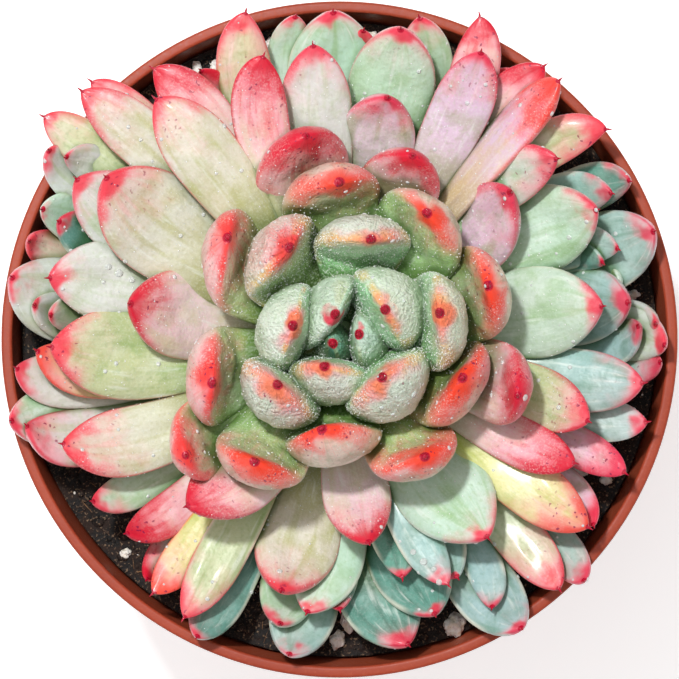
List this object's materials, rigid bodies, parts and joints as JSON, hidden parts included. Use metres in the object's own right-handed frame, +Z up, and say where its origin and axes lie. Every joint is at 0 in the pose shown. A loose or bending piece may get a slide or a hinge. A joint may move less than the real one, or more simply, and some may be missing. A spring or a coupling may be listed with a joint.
{
  "type": "potted biante echeveria",
  "caption": "Potted echeveria rosette: plump coral-tipped green leaves ringed round a short stem, in a round terracotta-coloured pot of dark perlite soil.",
  "frame": {"origin": "middle of the pot's flat underside, on the surface it stands on", "axes": "+Z up along the pot's axis, +Y towards the top of the picture, +X to its right"},
  "size_m": [0.108, 0.108, 0.1224],
  "materials": {
    "pot": "terracotta-coloured plastic, matte with a faint sheen",
    "soil": "damp dark potting mix, matte",
    "leaf": "fleshy leaf with a waxy bloom, coral at the edges",
    "perlite": "porous off-white perlite, matte"
  },
  "bodies": {
    "root": {"pot": "pot", "soil": "soil", "rosette": "leaf", "perlite_1": "perlite", "perlite_2": "perlite", "perlite_3": "perlite", "perlite_4": "perlite", "perlite_5": "perlite", "perlite_6": "perlite", "perlite_7": "perlite", "perlite_8": "perlite", "perlite_9": "perlite", "perlite_10": "perlite", "perlite_11": "perlite", "perlite_12": "perlite"}
  },
  "joints": []
}
